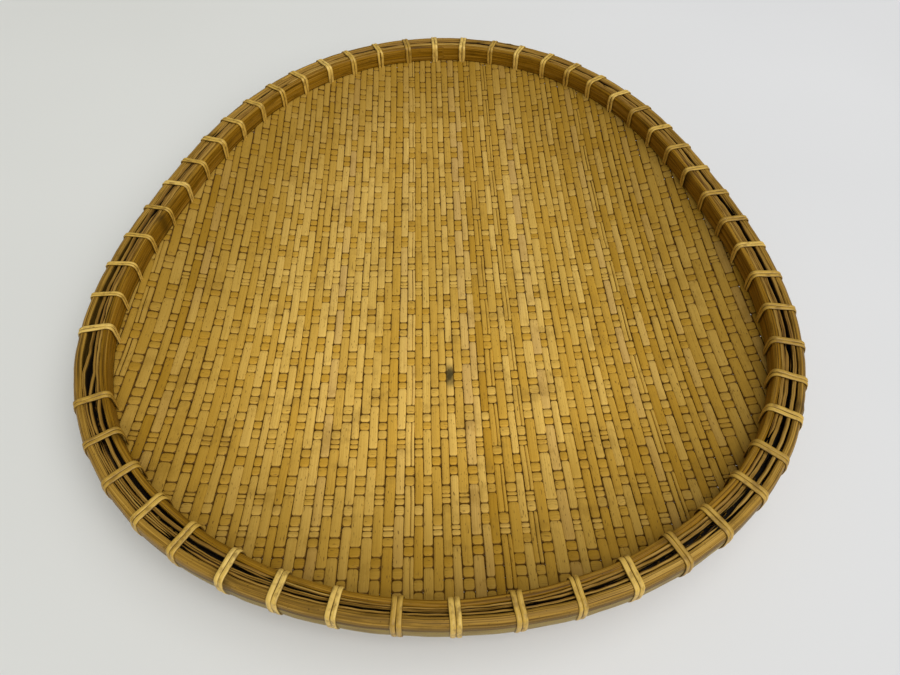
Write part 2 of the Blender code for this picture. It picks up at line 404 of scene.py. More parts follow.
def ribbon(centre, along, lift, width, thick, is_warp, drift, end_trim, rng):
    """Points of one strip laid on the mat's surface, and the values kept for each.

    Gives the points, the number of rings, the grain, how far each point stands
    up from the weave, its depth inside the mat's edge and how near its flank it is.
    """
    middle = centre + drift(along)
    u, v = (middle, along) if is_warp else (along, middle)
    points, inside = mat_surface(u, v)
    keep = np.nonzero(inside > end_trim - PROFILE_RUN[-1])[0]
    if len(keep) < FEWEST_RINGS:
        return None
    kept = slice(keep[0], keep[-1] + 1)
    u, v, points, inside = u[kept], v[kept], points[kept], inside[kept]
    lift, along = lift[kept], along[kept]
    pu = mat_surface(u + SURFACE_STEP, v)[0] - mat_surface(u - SURFACE_STEP, v)[0]
    pv = mat_surface(u, v + SURFACE_STEP)[0] - mat_surface(u, v - SURFACE_STEP)[0]
    pu /= np.linalg.norm(pu, axis=1, keepdims=True)
    pv /= np.linalg.norm(pv, axis=1, keepdims=True)
    normal = np.cross(pu, pv)
    normal /= np.linalg.norm(normal, axis=1, keepdims=True)
    across = pu if is_warp else -pv
    twist = TWIST * np.sin(along / TWIST_RUN + rng.uniform(0.0, PHASE))
    half = 0.5 * width * (1.0 + WIDTH_WAVE * np.sin(along / WIDTH_RUN + rng.uniform(0.0, PHASE)))
    side, level = STRIP_SECTION.T
    out = points[:, None, :] + across[:, None, :] * (half[:, None] * side[None, :])[..., None]
    rise = LIFT * lift[:, None] + 0.5 * thick * level[None, :] + twist[:, None] * side[None, :]
    out = out + normal[:, None, :] * rise[..., None]
    grain = np.zeros(out.shape)
    grain[..., 0] = along[:, None] * MM
    grain[..., 1] = half[:, None] * side[None, :] * MM
    upper = level > BOTTOM_LEVEL
    flank = np.tile(np.abs(side) * upper, len(u))
    shown = (lift[:, None] * np.where(upper, 1.0, -1.0)[None, :]).ravel()
    return out.reshape(-1, 3), len(u), grain.reshape(-1, 3), shown, np.repeat(inside, len(side)), flank


def build_strip(name, centre, size, crossings, cross_sizes, tops, is_warp, seed):
    """One bamboo strip of the mat; a few are two thinner strips side by side."""
    rng = random.Random(seed)
    along, lift = strip_path(crossings, cross_sizes, tops)
    drift = wander(rng, DRIFT)
    full = size * rng.uniform(*FILL)
    parts = [(0.0, full)]
    if rng.random() < (WARP_SPLIT_CHANCE if is_warp else WEFT_SPLIT_CHANCE):
        split = rng.uniform(*SPLIT_AT)
        total = full - SPLIT_GAP
        left = total * split
        right = total - left
        parts = [(-0.5 * full + 0.5 * left, left), (0.5 * full - 0.5 * right, right)]
    points, faces, grain, lifts, depths, flanks = [], [], [], [], [], []
    start = 0
    for shift, width in parts:
        thick = STRIP_THICK * rng.uniform(*THICK_SPREAD)
        trim = rng.uniform(*END_TRIM)
        made = ribbon(centre + shift, along, lift, width, thick, is_warp, drift, trim, rng)
        if made is None:
            continue
        part_points, rings, part_grain, part_lift, part_depth, part_flank = made
        part_grain[:, 2] = rng.uniform(0.0, 50.0)
        points.append(part_points)
        faces += tube_faces(rings, len(STRIP_SECTION), False, start)
        start += len(part_points)
        grain.append(part_grain)
        lifts.append(part_lift)
        depths.append(part_depth)
        flanks.append(part_flank)
    if not points:
        return None
    obj = new_object(name, np.concatenate(points), faces)
    grain = np.concatenate(grain)
    store(obj, "grain", grain)
    store(obj, "lift", np.concatenate(lifts))
    store(obj, "depth", np.concatenate(depths) * MM)
    store(obj, "flank", np.concatenate(flanks))
    reach = grain[:, 0] / MM - STAIN_FORWARD
    here = is_warp and abs(centre - STAIN_RIGHT) < 0.5 * size
    store(obj, "stain", here * STAIN_AMOUNT * np.exp(-((reach / STAIN_LENGTH) ** 4)))
    darkest, tone_range = WARP_TONE if is_warp else WEFT_TONE
    tone = darkest + tone_range * rng.random()
    if rng.random() < TONE_SWAP_CHANCE:
        tone = 1.0 - tone
    store(obj, "tone", np.full(start, tone))
    return obj


def build_weave():
    """All strips of the mat."""
    rng = random.Random(WEAVE_SEED)
    warp_at, warp_size = spaced(WARP_COVER, WARP_PITCH, WARP_SPREAD, rng, SIDE_START)
    weft_at, weft_size = spaced(WEFT_COVER, WEFT_PITCH, WEFT_SPREAD, rng)
    columns = range(len(warp_at))
    rows = range(len(weft_at))
    last_row = len(weft_at) - 1
    strips = []
    for i in columns:
        tops = [-1.0 if weft_on_top(i, last_row - j) else 1.0 for j in rows]
        name = "warp_%02d" % (i + 1)
        strips.append(build_strip(
            name, warp_at[i], warp_size[i], weft_at, weft_size, tops, True, WARP_SEED + i))
    for j in rows:
        tops = [1.0 if weft_on_top(i, last_row - j) else -1.0 for i in columns]
        name = "weft_%02d" % (j + 1)
        strips.append(build_strip(
            name, weft_at[j], weft_size[j], warp_at, warp_size, tops, False, WEFT_SEED + j))
    return [strip for strip in strips if strip]


# ================================================================ hoops
def smooth_noise(rng, total, waves, amount):
    """Periodic noise round the rim."""
    parts = []
    for count in waves:
        cycles = rng.randint(max(1, int(count * 0.8)), int(count * 1.2) + 1)
        phase = rng.uniform(0.0, PHASE)
        parts.append((cycles, phase, rng.uniform(0.5, 1.0)))
    scale = amount / max(1.0, len(parts) ** 0.5)

    def value(s):
        out = np.zeros_like(np.asarray(s, float))
        for count, phase, size in parts:
            out += size * np.sin(2.0 * math.pi * count * s / total + phase)
        return scale * out

    return value


HOOP_RINGS = 1080
HOOP_CREASE = 50.0
SWAY = 0.22
BOB = 0.18
WOBBLE = 0.06
JOINT_HALF = 2.2
JOINT_GROOVE_AT = 5.0
JOINT_GROOVE_HALF = 2.5
JOINT_DARK_HALF = 5.0
# The height is raised round this share of the way, where no skin shows in the photograph.
TURNED_AT = 0.66
TURNED_REACH = 0.075
TURNED_BY = 0.40


def hoop(name, section, seed, joints, ridge, beyond_slot):
    """A bamboo hoop swept round the rim, with raised joints of the cane.

    Kept for each point: grain, nearness to a joint, painted shade on the side facing
    the slot, and height from 0 at the outer hoop's bottom to 1 at its top.
    """
    rng = random.Random(seed)
    s = np.linspace(0.0, rim.total, HOOP_RINGS, endpoint=False)
    sway = smooth_noise(rng, rim.total, (3, 7, 17, 41), SWAY)(s)
    bob = smooth_noise(rng, rim.total, (4, 9, 23), BOB)(s)
    section = np.array(section)
    centre = section.mean(axis=0)
    swell = np.zeros(HOOP_RINGS)
    knot = np.zeros(HOOP_RINGS)
    for place in joints:
        gap = np.abs((s - place * rim.total + 0.5 * rim.total) % rim.total - 0.5 * rim.total)
        groove = 0.4 * ridge * np.exp(-(((gap - JOINT_GROOVE_AT) / JOINT_GROOVE_HALF) ** 2))
        swell += ridge * np.exp(-((gap / JOINT_HALF) ** 2)) - groove
        knot = np.maximum(knot, np.exp(-((gap / JOINT_DARK_HALF) ** 2)))
    shift = rim.slot(s) if beyond_slot else 0.0
    rings = []
    for k in range(len(section)):
        arm = section[k] - centre
        arm = arm / max(1e-6, np.hypot(*arm))
        wobble = smooth_noise(rng, rim.total, (25, 60, 130), WOBBLE)(s)
        inset = section[k, 0] + shift + sway + (swell + wobble) * arm[0]
        height = section[k, 1] + bob + (swell * 0.5 + wobble) * arm[1]
        rings.append(rim.at(s, inset, height))
    points = np.stack(rings, axis=1).reshape(-1, 3)
    obj = new_object(name, points, tube_faces(HOOP_RINGS, len(section), True), HOOP_CREASE)
    girth = np.concatenate(([0.0], np.cumsum(np.hypot(*np.diff(section, axis=0).T))))
    grain = np.zeros((HOOP_RINGS, len(section), 3))
    grain[..., 0] = s[:, None] * MM
    grain[..., 1] = girth[None, :] * MM
    grain[..., 2] = seed
    store(obj, "grain", grain.reshape(-1, 3))
    store(obj, "knot", np.repeat(knot, len(section)))
    facing = (section[:, 0] < centre[0]) if beyond_slot else (section[:, 0] > centre[0])
    # painted shade on the side facing the slot, fading out towards the hoop's bottom
    slot_shade = np.clip((section[:, 1].max() - 0.9 - section[:, 1]) / 1.6, 0.0, 1.0) * facing
    slot_shade = slot_shade * np.clip((section[:, 1] - section[:, 1].min() - 1.5) / 3.0, 0.0, 1.0)
    store(obj, "low", np.tile(slot_shade, HOOP_RINGS))
    level = (section[None, :, 1] - HOOP_LOW) / (OUTER_TOP - HOOP_LOW)
    place = s / rim.total
    turned = TURNED_BY * np.exp(-(((place - TURNED_AT) / TURNED_REACH) ** 4))
    store(obj, "height", (level + turned[:, None]).ravel())
    return obj


def outer_section():
    """Half-round split bamboo: skin outside, split face inside, cut top."""
    left, right = OUTER_OUT, OUTER_OUT + OUTER_THICK
    low, high = HOOP_LOW, OUTER_TOP
    return [
        (right, low + 0.7), (right - 0.7, low + 0.1), (left + 1.9, low),
        (left + 0.9, low + 0.9), (left + 0.35, low + 2.8), (left + 0.05, low + 5.6),
        (left, low + 8.2), (left + 0.1, low + 10.6), (left + 0.35, low + 12.6),
        (left + 0.85, high - 1.9), (left + 1.5, high - 1.0), (left + 2.5, high - 0.3),
        (left + 3.4, high), (right - 0.8, high - 0.1), (right - 0.15, high - 0.6),
        (right, high - 2.0),
    ]


def inner_section():
    """Flat bamboo strip on edge with eased corners."""
    left, right = OUTER_INNER, OUTER_INNER + INNER_THICK
    low, high = INNER_LOW, INNER_TOP
    return [
        (right - 0.5, low), (left + 0.5, low), (left, low + 0.6), (left, high - 0.8),
        (left + 0.35, high - 0.2), (left + 1.0, high), (right - 1.5, high - 0.05),
        (right - 0.7, high - 0.3), (right - 0.2, high - 0.9), (right, high - 1.8),
        (right + 0.1, high - 5.0), (right + 0.1, high - 8.0), (right, low + 2.5),
        (right - 0.1, low + 0.7),
    ]


# ================================================================ fillers
# How the slot is filled, clockwise from the back: place, open share of the slot,
# and where the opening lies (0 beside the outer hoop, 1 beside the inner hoop).
SLOT_FILL = (
    (0.00, 0.05, 0.5), (0.10, 0.06, 0.4), (0.18, 0.12, 0.45), (0.25, 0.22, 0.30),
    (0.33, 0.30, 0.20), (0.42, 0.38, 0.30), (0.50, 0.32, 0.20), (0.56, 0.34, 0.60),
    (0.61, 0.34, 0.95), (0.655, 0.42, 0.80), (0.685, 0.50, 0.10), (0.74, 0.42, 0.06),
    (0.80, 0.08, 0.35), (0.88, 0.04, 0.5), (1.00, 0.05, 0.5),
)
LANES = 3
CLOSING_LANE = 1
CLOSING_TOP = 30.2
CLOSING_HIGH = 5.5
CLOSING_RINGS = 560
SPLINT_STEP = 2.5
SPLINT_CREASE = 40.0
FIBRES = 22
FIBRE_STEP = 1.3
FIBRE_PLACES = (0.30, 0.36, 0.41, 0.45, 0.58, 0.64, 0.68, 0.72, 0.75)
EDGE_SECTION = np.array([
    (0.5, -1.0), (-0.5, -1.0), (-0.5, -0.20), (-0.42, -0.06),
    (-0.16, 0.0), (0.18, -0.01), (0.43, -0.07), (0.5, -0.22),
])


def slot_lanes(s):
    """Across the slot: where each splint starts, their width and the gaps beside them."""
    place = np.mod(s, rim.total) / rim.total
    table = np.array(SLOT_FILL)
    open_share = np.interp(place, table[:, 0], table[:, 1])
    where = np.interp(place, table[:, 0], table[:, 2])
    slot = rim.slot(s)
    gaps = np.stack([np.maximum(0.05, 1.0 - np.abs(LANES * where - k)) for k in range(LANES + 1)])
    gaps = gaps / gaps.sum(axis=0) * open_share * slot
    width = (1.0 - open_share) * slot / LANES
    starts = []
    at = gaps[0]
    for k in range(LANES):
        starts.append(at)
        at = at + width + gaps[k + 1]
    return starts, width, gaps


def strip_run(s, inset, top, wide, high, rng, fray, shade=0.0, under=1.0):
    """A strip on edge along the rim, its ends worn thin, with painted shade low in the slot.

    shade is the least painted shade of its sides and top, under the painted shade of its underside.
    """
    length = s[-1] - s[0]
    t = (s - s[0]) / length
    worn = np.clip(np.minimum(t, 1.0 - t) * length / fray, 0.10, 1.0)
    side, level = EDGE_SECTION.T
    rings = []
    for a, b in EDGE_SECTION:
        rough = 0.10 * np.sin(s / rng.uniform(2.0, 7.0) + rng.uniform(0.0, PHASE))
        height = top + rough - (1.0 - worn) * 0.8 + b * high * worn
        rings.append(rim.at(s, inset + a * wide * worn, height))
    points = np.stack(rings, axis=1)
    grain = np.zeros(points.shape)
    grain[..., 0] = s[:, None] * MM
    width = np.reshape(wide * np.ones(len(s)), (-1, 1))
    grain[..., 1] = level[None, :] * high * MM + side[None, :] * width * MM
    grain[..., 2] = rng.uniform(0.0, 40.0)
    # painted shade: darker lower down the sides, the underside set by under
    low = np.where(level < BOTTOM_LEVEL, under, np.clip(-level * high / 2.2, shade, 1.0))
    faces = tube_faces(len(s), len(EDGE_SECTION), False)
    return points.reshape(-1, 3), faces, grain.reshape(-1, 3), np.tile(low, len(s))


def merge(parts):
    """Put several point sets into one mesh's lists."""
    points, faces, grain, low = [], [], [], []
    start = 0
    for part_points, part_faces, part_grain, part_low in parts:
        points.append(part_points)
        faces += [tuple(start + v for v in face) for face in part_faces]
        grain.append(part_grain)
        low.append(part_low)
        start += len(part_points)
    return np.concatenate(points), faces, np.concatenate(grain), np.concatenate(low)


def splint(name, seed, lane, top, height, cuts):
    """Split strips between the hoops, laid end to end, with torn fibres in the gaps.

    cuts are the places round the rim where one strip ends and the next begins.
    """
    rng = random.Random(seed)
    parts = []
    for number in range(len(cuts)):
        first = cuts[number] * rim.total
        last = (cuts[number + 1] if number + 1 < len(cuts) else cuts[0] + 1.0) * rim.total
        s = np.arange(first + 1.0, last + rng.uniform(-2.0, 9.0), SPLINT_STEP)
        sway = smooth_noise(rng, rim.total, (31, 67, 140), 0.30)(s)
        bob = smooth_noise(rng, rim.total, (12, 29, 71), 0.35)(s)
        starts, width, _ = slot_lanes(s)
        grooves = 1 if rng.random() < 0.75 else 2
        for part in range(grooves):
            wide = 0.95 * width / grooves
            inset = OUTER_INNER + starts[lane] + (part + 0.5) * width / grooves + 0.5 * sway
            level = top + bob + rng.uniform(-0.3, 0.4)
            parts.append(strip_run(s, inset, level, wide, height, rng, rng.uniform(6.0, 22.0)))
    if lane == CLOSING_LANE:
        # One strip across the whole slot closes it from below; its top and sides are painted black as
        # the slot's shade.
        s = np.linspace(0.0, rim.total, CLOSING_RINGS)
        wide = rim.slot(s)
        middle = OUTER_INNER + 0.5 * wide
        parts.append(strip_run(s, middle, CLOSING_TOP, wide, CLOSING_HIGH, rng, 0.1, 1.0, 0.1))
    for _ in range(FIBRES):
        middle = (rng.choice(FIBRE_PLACES) + rng.uniform(-0.03, 0.03)) * rim.total
        length = rng.uniform(9.0, 34.0)
        s = np.arange(middle - 0.5 * length, middle + 0.5 * length, FIBRE_STEP)
        starts, width, gaps = slot_lanes(s)
        lean = rng.uniform(-0.6, 1.1) * gaps.max(axis=0) * np.linspace(-0.5, 0.5, len(s))
        inset = OUTER_INNER + starts[lane] + rng.choice((-0.25, 1.1)) * width + lean
        level = top - rng.uniform(0.6, 4.5) + rng.uniform(-1.5, 1.5) * np.linspace(-0.5, 0.5, len(s))
        shade = rng.uniform(0.15, 0.75)
        wide = rng.uniform(0.25, 0.8)
        high = rng.uniform(0.3, 1.0)
        parts.append(strip_run(s, inset, level, wide, high, rng, 0.45 * length, shade))
    points, faces, grain, low = merge(parts)
    obj = new_object(name, points, faces, SPLINT_CREASE)
    store(obj, "grain", grain)
    store(obj, "low", low)
    return obj


# ================================================================ lashings
def rounded(corners):
    """Closed path with each corner turned by a short arc; corners hold x, z and radius."""
    path = []
    spots = np.array([corner[:2] for corner in corners], float)
    count = len(corners)
    for k in range(count):
        here = spots[k]
        radius = corners[k][2]
        to_before = spots[k - 1] - here
        to_after = spots[(k + 1) % count] - here
        a = here + to_before / np.linalg.norm(to_before) * radius
        b = here + to_after / np.linalg.norm(to_after) * radius
        for q in range(CORNER_STEPS + 1):
            f = q / CORNER_STEPS
            path.append((1 - f) ** 2 * a + 2 * f * (1 - f) * here + f * f * b)
    return np.array(path)


def resample(path, spacing):
    """Even spacing along a closed path, and how far along it each point is."""
    loop = np.vstack([path, path[:1]])
    run = np.concatenate(([0.0], np.cumsum(np.hypot(*np.diff(loop, axis=0).T))))
    count = int(run[-1] / spacing)
    t = np.linspace(0.0, run[-1], count, endpoint=False)
    return np.stack([np.interp(t, run, loop[:, 0]), np.interp(t, run, loop[:, 1])], axis=1), t


STRAND_SECTION = np.array([
    (-1.0, -0.4), (-0.92, 0.25), (-0.62, 0.78), (-0.2, 1.0), (0.2, 1.0),
    (0.62, 0.78), (0.92, 0.25), (1.0, -0.4), (0.7, -1.0), (-0.7, -1.0),
])


def lashing(name, place, seed):
    """One double wrap of split cane round the rim."""
    rng = random.Random(seed)
    spot, inward, forward = rim.frame_at(place)
    slot = float(rim.slot(place))
    inner = float(rim.inner(place))
    slim = SLIM_FROM < place / rim.total < SLIM_TO
    skew = rng.uniform(-0.7, 0.7)
    fan = rng.uniform(0.0, 0.3) if rng.random() < 0.7 else rng.uniform(0.5, 1.4)
    points, faces, grain = [], [], []
    start = 0
    width = SLIM_WIDTH if slim else rng.uniform(*WRAP_WIDTH)
    for side in (-1.0, 1.0):
        half = width * rng.uniform(0.93, 1.05)
        offset = (half - 0.02) * side
        thick = STRAND_THICK * rng.uniform(0.9, 1.1)
        out = thick + 0.05
        sag = rng.uniform(0.0, 0.35)
        path, run = resample(rounded((
            (inner + out + 0.1, HOOP_LOW - 0.2, 1.2),
            (inner + out + 0.9, INNER_LOW + 6.0, 3.5),
            (inner + out + 0.75, INNER_TOP + out + 0.45, 4.4),
            (OUTER_INNER + 0.45 * slot, INNER_TOP + out + 0.15 - sag, 1.2),
            (OUTER_OUT + 3.0, OUTER_TOP + out + 0.05, 0.9),
            (OUTER_OUT + 0.7, OUTER_TOP - 1.1 + out, 0.9),
            (OUTER_OUT - out, HOOP_LOW + 11.0, 2.0),
            (OUTER_OUT - out, HOOP_LOW + 5.0, 2.0),
            (OUTER_OUT + 0.9, HOOP_LOW - out, 1.2),
            (OUTER_INNER + 0.5 * slot, HOOP_LOW - out - 0.5, 2.0),
        )), STRAND_SPACING)
        ahead = np.roll(path, -1, axis=0) - np.roll(path, 1, axis=0)
        ahead /= np.linalg.norm(ahead, axis=1, keepdims=True)
        outside = np.stack([-ahead[:, 1], ahead[:, 0]], axis=1)
        middle = path.mean(axis=0)
        if np.sum((path - middle) * outside) < 0.0:
            outside = -outside
        t = run / run[-1]
        across = (path[:, 0] - OUTER_OUT) / (inner - OUTER_OUT) - 0.5
        below_top = path[:, 1] < INNER_TOP - 0.5
        lean = skew * across + 0.5 * fan * side * (np.clip(across, 0.0, 1.0) * below_top)
        lean += 0.10 * np.sin(2.0 * math.pi * 3.0 * t + rng.uniform(0.0, PHASE))
        drawn_in = np.clip((INNER_LOW + 4.0 - path[:, 1]) / 6.0, 0.0, 1.0)
        narrow = 1.0 - 0.22 * drawn_in * (across > 0.0)
        wave = 0.05 * np.sin(run / 1.9 + rng.uniform(0.0, PHASE))
        rings = []
        flat = np.zeros(len(path))
        for a, b in STRAND_SECTION:
            in_plane = path + outside * (b * thick + wave)[:, None]
            shift = (offset + a * half) * narrow + lean
            rings.append(
                spot[None, :]
                + in_plane[:, :1] * inward[None, :]
                + shift[:, None] * forward[None, :]
                + np.stack([flat, flat, in_plane[:, 1]], axis=1)
            )
        strand = np.stack(rings, axis=1)
        points.append(strand.reshape(-1, 3))
        faces += tube_faces(len(path), len(STRAND_SECTION), True, start)
        start += len(points[-1])
        fibre = np.zeros(strand.shape)
        fibre[..., 0] = run[:, None] * MM
        fibre[..., 1] = (STRAND_SECTION[None, :, 0] * half) * MM
        fibre[..., 2] = rng.uniform(0.0, 60.0)
        grain.append(fibre.reshape(-1, 3))
    obj = new_object(name, np.concatenate(points), faces)
    store(obj, "grain", np.concatenate(grain))
    store(obj, "flank", np.tile(np.abs(STRAND_SECTION[:, 0]), start // len(STRAND_SECTION)))
    store(obj, "tone", np.full(start, rng.random()))
    return obj


def lash_places():
    """Places of the wraps, drawn in metres as the part's source draws them."""
    spread = random.Random(LASH_SEED)
    pitch = rim.total / LASH_PLACES
    jitter = 0.001 * LASH_JITTER
    places = []
    for place in range(LASH_PLACES):
        at = LASH_PHASE + pitch * place + 1000.0 * spread.uniform(-jitter, jitter)
        if place != LASH_SKIPPED:
            places.append(at)
    return places


# ================================================================ materials
class Nodes:
    """Small helper to write a material's node tree."""

    def __init__(self, name):
        self.material = bpy.data.materials.new(name)
        self.material.use_nodes = True
        self.tree = self.material.node_tree
        self.shader = self.tree.nodes["Principled BSDF"]

    def add(self, kind, **settings):
        node = self.tree.nodes.new(kind)
        for key, value in settings.items():
            setattr(node, key, value)
        return node

    def link(self, a, b):
        self.tree.links.new(a, b)

    def put(self, socket, value):
        if isinstance(value, bpy.types.NodeSocket):
            self.link(value, socket)
        else:
            socket.default_value = value

    def attribute(self, name, part="Fac"):
        return self.add("ShaderNodeAttribute", attribute_name=name).outputs[part]

    def math(self, operation, a, b):
        node = self.add("ShaderNodeMath", operation=operation)
        self.put(node.inputs[0], a)
        self.put(node.inputs[1], b)
        return node.outputs[0]

    def span(self, value, low, high, to_low=0.0, to_high=1.0):
        node = self.add("ShaderNodeMapRange", interpolation_type="SMOOTHSTEP")
        self.put(node.inputs["Value"], value)
        node.inputs["From Min"].default_value = low
        node.inputs["From Max"].default_value = high
        node.inputs["To Min"].default_value = to_low
        node.inputs["To Max"].default_value = to_high
        return node.outputs["Result"]

    def scaled(self, vector, x, y, z):
        node = self.add("ShaderNodeVectorMath", operation="MULTIPLY")
        self.put(node.inputs[0], vector)
        node.inputs[1].default_value = (x, y, z)
        return node.outputs[0]

    def noise(self, vector, scale, detail, rough=0.5):
        node = self.add("ShaderNodeTexNoise")
        self.link(vector, node.inputs["Vector"])
        node.inputs["Scale"].default_value = scale
        node.inputs["Detail"].default_value = detail
        node.inputs["Roughness"].default_value = rough
        return node.outputs["Fac"]

    def ramp(self, value, stops):
        node = self.add("ShaderNodeValToRGB")
        ramp = node.color_ramp
        while len(ramp.elements) > 1:
            ramp.elements.remove(ramp.elements[-1])
        ramp.elements[0].position = stops[0][0]
        ramp.elements[0].color = (*stops[0][1], 1.0)
        for position, colour in stops[1:]:
            element = ramp.elements.new(position)
            element.color = (*colour, 1.0)
        self.put(node.inputs["Fac"], value)
        return node.outputs["Color"]

    def mix(self, factor, a, b, blend="MIX"):
        node = self.add("ShaderNodeMix", data_type="RGBA", blend_type=blend)
        self.put(node.inputs["Factor"], factor)
        for socket, value in ((node.inputs[6], a), (node.inputs[7], b)):
            if isinstance(value, tuple):
                value = (*value, 1.0)
            self.put(socket, value)
        return node.outputs[2]

    def tint(self, colour, value, stops):
        """Multiply a colour by a ramp of the value."""
        return self.mix(1.0, colour, self.ramp(value, stops), "MULTIPLY")

    def split(self, vector, axis):
        node = self.add("ShaderNodeSeparateXYZ")
        self.link(vector, node.inputs["Vector"])
        return node.outputs[axis]

    def bump(self, height, strength, distance):
        node = self.add("ShaderNodeBump")
        node.inputs["Strength"].default_value = strength
        node.inputs["Distance"].default_value = distance
        self.put(node.inputs["Height"], height)
        self.link(node.outputs["Normal"], self.shader.inputs["Normal"])


def strip_material():
    """Split bamboo of the mat: honey, beige and ochre strips with fine fibres."""
    n = Nodes("bamboo_mat_strips")
    grain = n.attribute("grain", "Vector")
    tone = n.attribute("tone")
    lift = n.attribute("lift")
    depth = n.attribute("depth")
    place = n.add("ShaderNodeNewGeometry").outputs["Position"]
    flank = n.attribute("flank")
    stain = n.attribute("stain")
    drift = n.noise(n.scaled(grain, 14.0, 60.0, 1.0), 1.0, 2.0)
    pick = n.math("ADD", tone, n.math("MULTIPLY", n.math("SUBTRACT", drift, 0.5), 0.45))
    colour = n.ramp(pick, (
        (0.0, (0.48, 0.265, 0.022)),
        (0.25, (0.61, 0.355, 0.040)),
        (0.48, (0.64, 0.395, 0.064)),
        (0.62, (0.71, 0.460, 0.092)),
        (0.85, (0.79, 0.530, 0.128)),
        (1.0, (0.67, 0.440, 0.130)),
    ))
    # painted light: the mat is made lighter towards the front and darker, a little bluer, towards the
    # back
    painted_light_front_back = n.span(n.split(place, "Y"), -0.22, 0.22)
    colour = n.tint(colour, painted_light_front_back, (
        (0.0, (1.20, 1.17, 1.14)),
        (0.4, (0.97, 0.97, 0.99)),
        (1.0, (0.83, 0.82, 0.85)),
    ))
    fibres = n.noise(n.scaled(grain, 25.0, 3200.0, 7.0), 1.0, 3.0, 0.6)
    colour = n.tint(colour, fibres, ((0.25, (0.74, 0.68, 0.58)), (0.7, (1.07, 1.07, 1.07))))
    cloud = n.noise(place, 55.0, 4.0, 0.65)
    colour = n.mix(n.span(cloud, 0.50, 0.70, 0.0, 0.45), colour, (0.34, 0.19, 0.03))
    # dirt and painted shade of the rim: the mat darkens towards its edge
    rim_dirt_and_shade = n.span(depth, 0.0, 0.11, 0.62, 0.0)
    colour = n.mix(rim_dirt_and_shade, colour, (0.25, 0.135, 0.008))
    speck = n.noise(n.scaled(grain, 300.0, 1500.0, 9.0), 1.0, 1.0)
    colour = n.mix(n.span(speck, 0.66, 0.73, 0.0, 0.70), colour, (0.13, 0.065, 0.012))
    ragged = n.math("MULTIPLY", n.math("SUBTRACT", cloud, 0.5), 0.25)
    # painted shade: dark lines along each strip's edges and where it dips towards the next
    painted_edge_shade = n.math("ADD", n.math("ADD", flank, n.span(lift, 0.12, 0.88, 0.36, 0.0)), ragged)
    colour = n.mix(n.span(painted_edge_shade, 0.90, 1.04, 0.0, 0.84), colour, (0.085, 0.034, 0.001))
    # painted shade and grime where a strip tucks under the next
    tuck_shade_and_grime = n.span(n.math("ADD", lift, ragged), -0.10, 0.50, 0.92, 0.0)
    colour = n.mix(tuck_shade_and_grime, colour, (0.075, 0.030, 0.001))
    mark = n.math("MULTIPLY", n.span(cloud, 0.40, 0.56, 1.0, 0.55), stain)
    colour = n.mix(mark, colour, (0.045, 0.036, 0.012))
    n.link(colour, n.shader.inputs["Base Color"])
    n.put(n.shader.inputs["Roughness"], n.span(fibres, 0.2, 0.8, 0.66, 0.46))
    n.shader.inputs["Specular IOR Level"].default_value = 0.12
    n.bump(n.math("ADD", fibres, n.math("MULTIPLY", drift, 0.6)), 0.45, 0.0002)
    return n.material


NO_SKIN = -1.0  # a skin_low under the whole hoop


def hoop_material(name, top, skin, gloss, skin_low):
    """Bamboo hoop: long dark fibres, a paler skin below the height skin_low, dark joints, painted
    shade on the side facing the slot.
    """

    def darker(share):
        return tuple(share * c for c in top)

    def brighter(share, more):
        return tuple(share * c + extra for c, extra in zip(top, more))

    n = Nodes(name)
    grain = n.attribute("grain", "Vector")
    height = n.attribute("height")
    knot = n.attribute("knot")
    low = n.attribute("low")
    long = n.noise(n.scaled(grain, 7.0, 520.0, 1.0), 1.0, 5.0, 0.7)
    fine = n.noise(n.scaled(grain, 9.0, 1900.0, 3.0), 1.0, 4.0, 0.7)
    cloud = n.noise(n.scaled(grain, 42.0, 220.0, 5.0), 1.0, 4.0, 0.6)
    colour = n.ramp(long, (
        (0.34, darker(0.30)),
        (0.45, top),
        (0.56, brighter(1.30, (0.0, 0.010, 0.008))),
        (0.70, brighter(1.75, (0.0, 0.040, 0.035))),
    ))
    edge = n.math("ADD", height, n.math("MULTIPLY", n.math("SUBTRACT", cloud, 0.5), 0.10))
    above_skin = n.span(edge, skin_low + 0.02, skin_low + 0.38, 0.80, 0.0)
    colour = n.mix(above_skin, colour, darker(0.26))
    colour = n.tint(colour, fine, (
        (0.38, (0.30, 0.25, 0.18)),
        (0.48, (0.95, 0.95, 0.95)),
        (0.64, (1.35, 1.38, 1.45)),
    ))
    colour = n.mix(n.span(edge, skin_low, skin_low + 0.03, 1.0, 0.0), colour, skin)
    colour = n.mix(n.span(cloud, 0.50, 0.70, 0.0, 0.6), colour, darker(0.45))
    spots = n.noise(n.scaled(grain, 700.0, 1100.0, 8.0), 1.0, 1.0)
    colour = n.mix(n.span(spots, 0.68, 0.74, 0.0, 0.7), colour, darker(0.15))
    joint = n.math("MULTIPLY", knot, n.span(cloud, 0.35, 0.6, 0.95, 0.55))
    colour = n.mix(joint, colour, darker(0.22))
    # painted shade: the side facing the slot is made near black
    colour = n.mix(n.span(low, 0.2, 0.9, 0.0, 0.98), colour, (0.008, 0.004, 0.001))
    n.link(colour, n.shader.inputs["Base Color"])
    n.put(n.shader.inputs["Roughness"], n.span(fine, 0.2, 0.8, gloss + 0.14, gloss))
    n.shader.inputs["Specular IOR Level"].default_value = 0.14
    n.bump(n.math("ADD", fine, long), 0.5, 0.0003)
    return n.material


